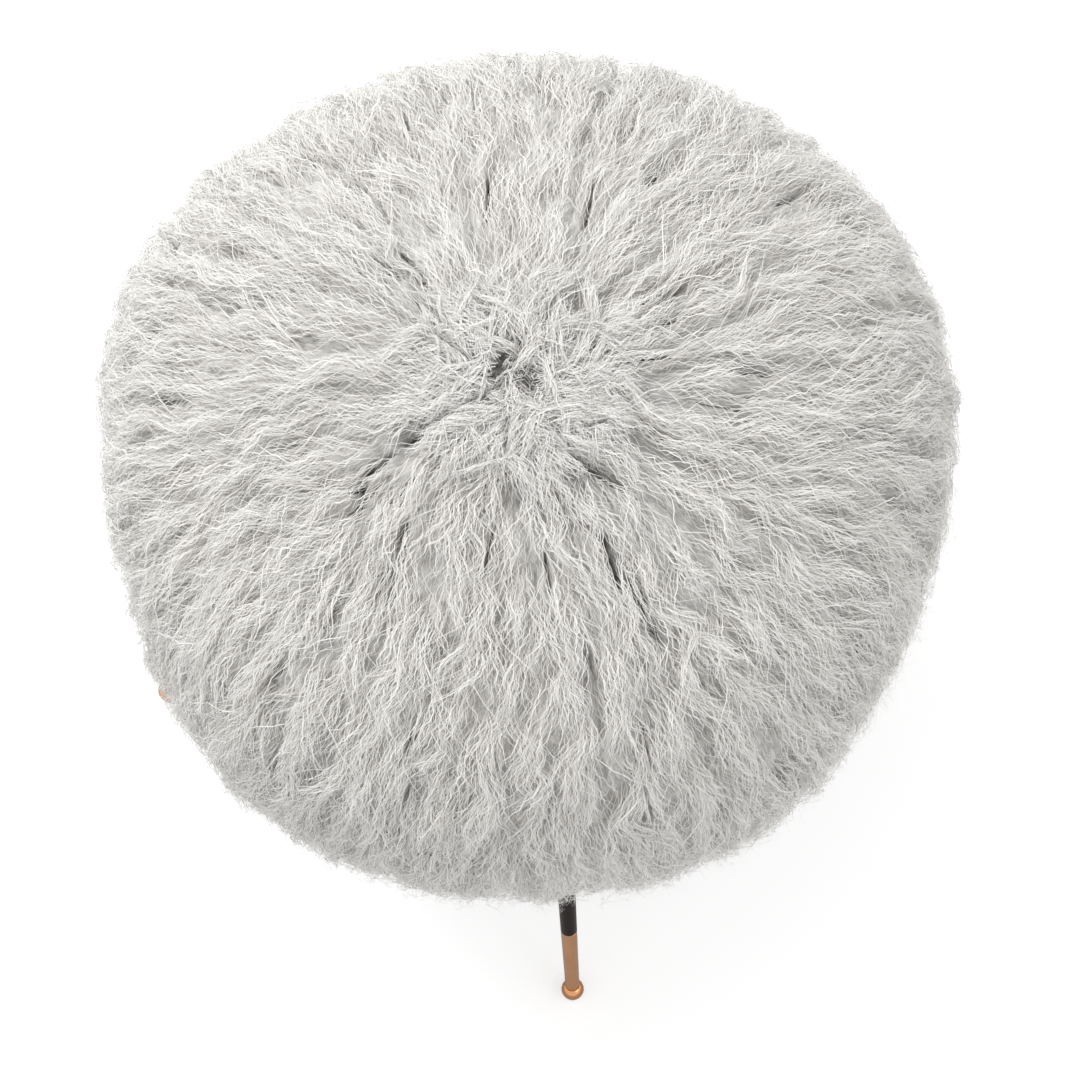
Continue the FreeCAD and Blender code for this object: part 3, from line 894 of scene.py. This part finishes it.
def cloth_material(name, colour, threads, height):
    """Plain weave with uneven threads, from the piece's own place."""
    shader = Shader(name)
    weave = shader.group("weave", weave_group, Threads=threads)
    shader.link(shader.place(), weave.inputs["Vector"])
    shader.ramp(
        weave.outputs["Weave"],
        [(0.0, tuple(0.6 * c for c in colour)), (1.0, colour)],
        shader.bsdf.inputs["Base Color"],
    )
    shader.set(Roughness=0.9, Specular_IOR_Level=0.2, Sheen_Weight=0.2)
    shader.bump(weave.outputs["Weave"], height, 0.7)
    return shader.material


def soft_material(name, colour, patch_scale, grain_scale, roughness, height):
    """Foam, wadding, leather or board: patchy colour and a fine grain."""
    shader = Shader(name)
    grain = shader.group("grain", grain_group, Patch_scale=patch_scale, Grain_scale=grain_scale)
    shader.link(shader.place(), grain.inputs["Vector"])
    shader.ramp(
        grain.outputs["Patches"],
        [(0.3, tuple(0.84 * c for c in colour)), (0.7, tuple(min(1.0, 1.08 * c) for c in colour))],
        shader.bsdf.inputs["Base Color"],
    )
    shader.set(Roughness=roughness, Specular_IOR_Level=0.25)
    shader.bump(grain.outputs["Grain"], height, 0.8)
    return shader.material


def plywood_material():
    """Birch plywood: grain on the faces and dark glue lines round the edge."""
    shader = Shader("birch plywood")
    place = shader.place()
    parts = shader.tree.nodes.new("ShaderNodeSeparateXYZ")
    shader.link(place, parts.inputs["Vector"])
    plies = shader.tree.nodes.new("ShaderNodeTexWave")
    plies.wave_type = "BANDS"
    plies.bands_direction = "Z"
    plies.inputs["Scale"].default_value = 150.0
    plies.inputs["Distortion"].default_value = 0.4
    shader.link(place, plies.inputs["Vector"])
    stretch = shader.tree.nodes.new("ShaderNodeMapping")
    stretch.inputs["Scale"].default_value = (6.0, 90.0, 90.0)
    shader.link(place, stretch.inputs["Vector"])
    figure = shader.node("ShaderNodeTexNoise", Scale=1.0, Detail=5.0, Distortion=0.6)
    shader.link(stretch.outputs["Vector"], figure.inputs["Vector"])
    wood = shader.ramp(figure.outputs["Fac"], [(0.3, (0.52, 0.36, 0.20)), (0.7, (0.72, 0.55, 0.35))])
    glue = shader.ramp(plies.outputs["Fac"], [(0.0, (0.45, 0.40, 0.35)), (0.25, (1, 1, 1))])
    shader.multiply(wood.outputs["Color"], glue.outputs["Color"])
    shader.set(Roughness=0.65)
    shader.bump(figure.outputs["Fac"], 0.05 * MM, 0.5)
    return shader.material


def build_foam():
    low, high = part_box("foam_core")
    foam = soft_material("white foam", (0.80, 0.77, 0.66), 50.0, 1500.0, 0.95, 0.3 * MM)
    full = cushion_outline(0, low[2])
    outline = [(0.0, high[2])] + [point for point in full if point[1] < high[2]] + [(0.0, low[2])]
    core = lathe("foam_block", outline, LAYER_STEPS)
    set_material(core, foam)
    settle(core, ["foam_core"])
    dome = [point for point in full if point[1] > high[2]] + [(0.0, high[2])]
    crown = lathe("foam_dome", dome, LAYER_STEPS)
    set_material(crown, foam)
    settle(crown, ["foam_crown"])


def build_wadding():
    low_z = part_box("wadding_wrap")[0][2]
    inner, outer = cushion_outline(0.3 * MM, low_z), cushion_outline(6.3 * MM, low_z)
    piece = build_shell("wadding_layer", inner, outer)
    set_material(piece, soft_material("white wadding", (0.86, 0.86, 0.84), 120.0, 700.0, 1.0, 0.8 * MM))
    settle(piece, ["wadding_wrap"])


def build_lining():
    low_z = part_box("lining_cover")[0][2]
    inner, outer = cushion_outline(6.6 * MM, low_z), cushion_outline(7.6 * MM, low_z)
    piece = build_shell("calico_cover", inner, outer)
    set_material(piece, cloth_material("calico", (0.72, 0.68, 0.58), 900.0, 0.2 * MM))
    settle(piece, ["lining_cover"])
    area = turned_area(cushion_outline(7.1 * MM, low_z))


HIDE_INSET = 40 * MM


def build_hide():
    """Sheepskin's leather over the cushion, its edge turned under the board."""
    low_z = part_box("sheepskin_hide")[0][2]
    top_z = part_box("seat_board")[0][2]
    edge_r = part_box("seat_board")[1][0] - HIDE_INSET
    inner, outer = cushion_outline(7.9 * MM, top_z), cushion_outline(10.4 * MM, low_z + 1 * MM)
    foot_r = outer[-1][0]
    under = [(foot_r - 1.5 * MM, low_z)]
    under += [(edge_r + 1 * MM + step, low_z) for step in np.linspace(foot_r - 4 * MM - edge_r, 0, 12)]
    under += [(edge_r, low_z + 1 * MM), (edge_r, top_z - 0.7 * MM), (edge_r + 1 * MM, top_z)]
    piece = build_shell("sheepskin_leather", inner, outer, edge=under)
    set_material(piece, soft_material("sheep leather", (0.66, 0.56, 0.42), 35.0, 900.0, 0.8, 0.25 * MM))
    settle(piece, ["sheepskin_hide"])
    middle = cushion_outline(9.15 * MM, low_z + 1.25 * MM)
    area = turned_area(middle + [(edge_r, low_z + 1.25 * MM)])


CLOTH_SAG = 1.6 * MM
CLOTH_FRAMES = 20


def build_dust_cloth():
    """Thin black cloth under the seat, held by its staples and plates and sagging between."""
    low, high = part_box("dust_cover")
    thick, radius = high[2] - low[2], high[0]
    middle_z = high[2] - thick / 2
    outline = [(float(r), middle_z) for r in np.linspace(0, radius - thick / 2, 44)]
    piece = lathe("dust_cloth", outline, 144)
    mesh = piece.data
    rest = np.empty(len(mesh.vertices) * 3, dtype=np.float32)
    mesh.vertices.foreach_get("co", rest)
    rest = rest.reshape(-1, 3)
    r, a = np.hypot(rest[:, 0], rest[:, 1]), np.arctan2(rest[:, 1], rest[:, 0])
    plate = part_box("front_leg_plate")
    half = plate[1][0] + 2 * MM
    turn = (a + math.pi / 4) % (math.pi / 2) - math.pi / 4
    on_plate = (r * np.cos(turn) > -plate[1][1] - 2 * MM) & (np.abs(r * np.sin(turn)) < half)
    held = on_plate | (r > radius - 8 * MM)
    shape = simulate_sag(piece, np.nonzero(held)[0])
    shape[:, 2] = np.clip(shape[:, 2], middle_z - CLOTH_SAG, middle_z)
    mesh.vertices.foreach_set("co", shape.ravel())
    mesh.update()
    solid = piece.modifiers.new("thickness", "SOLIDIFY")
    solid.thickness = thick
    solid.offset = 0
    bpy.context.view_layer.objects.active = piece
    bpy.ops.object.modifier_apply(modifier=solid.name)
    set_material(piece, cloth_material("black non-woven cloth", (0.03, 0.03, 0.032), 650.0, 0.15 * MM))
    settle(piece, ["dust_cover"])


def simulate_sag(piece, held):
    """Lets the cloth sag under its weight from the vertices that are held."""
    group = piece.vertex_groups.new(name="held")
    group.add([int(index) for index in held], 1.0, "REPLACE")
    cloth = piece.modifiers.new("sag", "CLOTH")
    cloth.settings.vertex_group_mass = group.name
    cloth.settings.mass = 0.02
    cloth.settings.tension_stiffness = 40
    cloth.settings.compression_stiffness = 40
    cloth.settings.bending_stiffness = 0.05
    cloth.settings.quality = 6
    cloth.point_cache.frame_start = 1
    cloth.point_cache.frame_end = CLOTH_FRAMES
    for frame_number in range(1, CLOTH_FRAMES + 1):
        bpy.context.scene.frame_set(frame_number)
    sagged = piece.evaluated_get(bpy.context.evaluated_depsgraph_get())
    shape = np.empty(len(sagged.data.vertices) * 3, dtype=np.float32)
    sagged.data.vertices.foreach_get("co", shape)
    piece.modifiers.remove(cloth)
    bpy.context.scene.frame_set(1)
    return shape.reshape(-1, 3)


# Operators


class STOOL_OT_wool(Operator):
    """Comb the wool: undercoat, locks and loose strands."""

    bl_idname = "stool.wool"
    bl_label = "Comb the wool"

    def execute(self, context):
        settings = context.scene.stool_fur
        rng = np.random.default_rng(settings.seed)
        partings = make_partings(rng)
        locks = make_locks(rng, settings)
        build_wool_mass(settings, rng, locks, partings)
        build_wool_locks(settings, rng, locks, partings)
        return {"FINISHED"}


class STOOL_OT_legs(Operator):
    """Finish the legs, ferrules, ball feet and glide pads."""

    bl_idname = "stool.legs"
    bl_label = "Finish the legs"

    def execute(self, context):
        settings = context.scene.stool_finish
        copper = metal_material("polished copper", tuple(settings.copper), 1.0, 0.13, 0.04)
        enamel = metal_material("black enamel", tuple(settings.enamel), 0.0, 0.24, 0.05, specular=0.1)
        zinc = metal_material("zinc plate", (0.62, 0.63, 0.64), 1.0, 0.38, 0.08)
        rubber = metal_material("black rubber", (0.02, 0.02, 0.02), 0.0, 0.8, 0.08)
        for side in SIDES:
            for name in ("leg_plate", "leg_rod"):
                dress_node(side + "_" + name, enamel)
            for name in ("ferrule", "ball_foot"):
                dress_node(side + "_" + name, copper)
            for name in ("leg_stud", "foot_stud"):
                dress_node(side + "_" + name, zinc)
            dress_node(side + "_glide_pad", rubber)
        for name in ("plate_screws", "cover_staples", "hide_staples"):
            dress_node(name, zinc)
        return {"FINISHED"}


class STOOL_OT_cushion(Operator):
    """Lay the foam, wadding, lining and sheepskin on the board, and the cloth under it."""

    bl_idname = "stool.cushion"
    bl_label = "Pad the seat"

    def execute(self, context):
        dress_node("seat_board", plywood_material())
        build_foam()
        build_wadding()
        build_lining()
        build_hide()
        build_dust_cloth()
        return {"FINISHED"}


class STOOL_OT_stage(Operator):
    """Set up the floor, the lights and the camera."""

    bl_idname = "stool.stage"
    bl_label = "Set the stage"

    def execute(self, context):
        build_floor()
        build_lights()
        build_camera(context.scene.stool_stage)
        return {"FINISHED"}


def build_floor():
    deselect()
    bpy.ops.mesh.primitive_plane_add(size=8.0, location=(0, 0, 0))
    floor = bpy.context.object
    floor.name = "floor"
    shader = Shader("studio floor")
    shader.set(Base_Color=(0.56, 0.56, 0.56, 1), Roughness=0.9, Specular_IOR_Level=0.0)
    seen = shader.tree.nodes.new("ShaderNodeLightPath")
    shader.bsdf.inputs["Emission Color"].default_value = (1, 1, 1, 1)
    glow = shader.tree.nodes.new("ShaderNodeMath")
    glow.operation = "MULTIPLY"
    glow.inputs[1].default_value = 0.55
    shader.link(seen.outputs["Is Camera Ray"], glow.inputs[0])
    shader.link(glow.outputs["Value"], shader.bsdf.inputs["Emission Strength"])
    set_material(floor, shader.material)


def add_area(name, place, aim, size, power):
    """Square light of a size in metres and a power in watts, turned to a point."""
    light = bpy.data.lights.new(name, "AREA")
    light.energy = power
    light.size = size
    lamp = bpy.data.objects.new(name, light)
    bpy.context.scene.collection.objects.link(lamp)
    lamp.location = place
    lamp.rotation_euler = (Vector(aim) - Vector(place)).to_track_quat("-Z", "Y").to_euler()


def build_lights():
    world = bpy.data.worlds.new("studio")
    bpy.context.scene.world = world
    world.use_nodes = True
    background = world.node_tree.nodes["Background"]
    background.inputs["Color"].default_value = (1, 1, 1, 1)
    background.inputs["Strength"].default_value = 0.92
    add_area("key", (-1.0, 1.25, 2.3), (0, 0, 0.35), 1.5, 44)
    add_area("fill", (1.6, -1.4, 1.8), (0, 0, 0.3), 1.6, 8)


def build_camera(settings):
    camera = bpy.data.cameras.new("camera")
    camera.lens = settings.lens
    camera.sensor_width = 36
    rig = bpy.data.objects.new("camera", camera)
    bpy.context.scene.collection.objects.link(rig)
    a, e = settings.azimuth, settings.elevation
    back = Vector((math.sin(a) * math.cos(e), -math.cos(a) * math.cos(e), math.sin(e)))
    rig.location = Vector(settings.target) + back * settings.distance
    rig.rotation_euler = (-back).to_track_quat("-Z", "Y").to_euler()
    bpy.context.scene.camera = rig


class STOOL_PT_panel(Panel):
    """Lists the steps that dress the stool."""

    bl_label = "Sheepskin Stool"
    bl_idname = "STOOL_PT_panel"
    bl_space_type = "VIEW_3D"
    bl_region_type = "UI"
    bl_category = "Stool"

    def draw(self, context):
        for step in STEPS:
            self.layout.operator(step.bl_idname)


STEPS = (STOOL_OT_stage, STOOL_OT_legs, STOOL_OT_cushion, STOOL_OT_wool)
SETTINGS = (StoolFurSettings, StoolFinishSettings, StoolStageSettings)


def register():
    for group in SETTINGS:
        bpy.utils.register_class(group)
    bpy.types.Scene.stool_fur = PointerProperty(type=StoolFurSettings)
    bpy.types.Scene.stool_finish = PointerProperty(type=StoolFinishSettings)
    bpy.types.Scene.stool_stage = PointerProperty(type=StoolStageSettings)
    for step in STEPS:
        bpy.utils.register_class(step)
    bpy.utils.register_class(STOOL_PT_panel)


def unregister():
    bpy.utils.unregister_class(STOOL_PT_panel)
    for step in reversed(STEPS):
        bpy.utils.unregister_class(step)
    del bpy.types.Scene.stool_stage
    del bpy.types.Scene.stool_finish
    del bpy.types.Scene.stool_fur
    for group in reversed(SETTINGS):
        bpy.utils.unregister_class(group)


def main():
    register()
    bpy.context.scene.view_settings.view_transform = "Standard"
    bpy.ops.stool.stage()
    bpy.ops.stool.legs()
    bpy.ops.stool.cushion()
    bpy.ops.stool.wool()


if __name__ == "__main__":
    main()
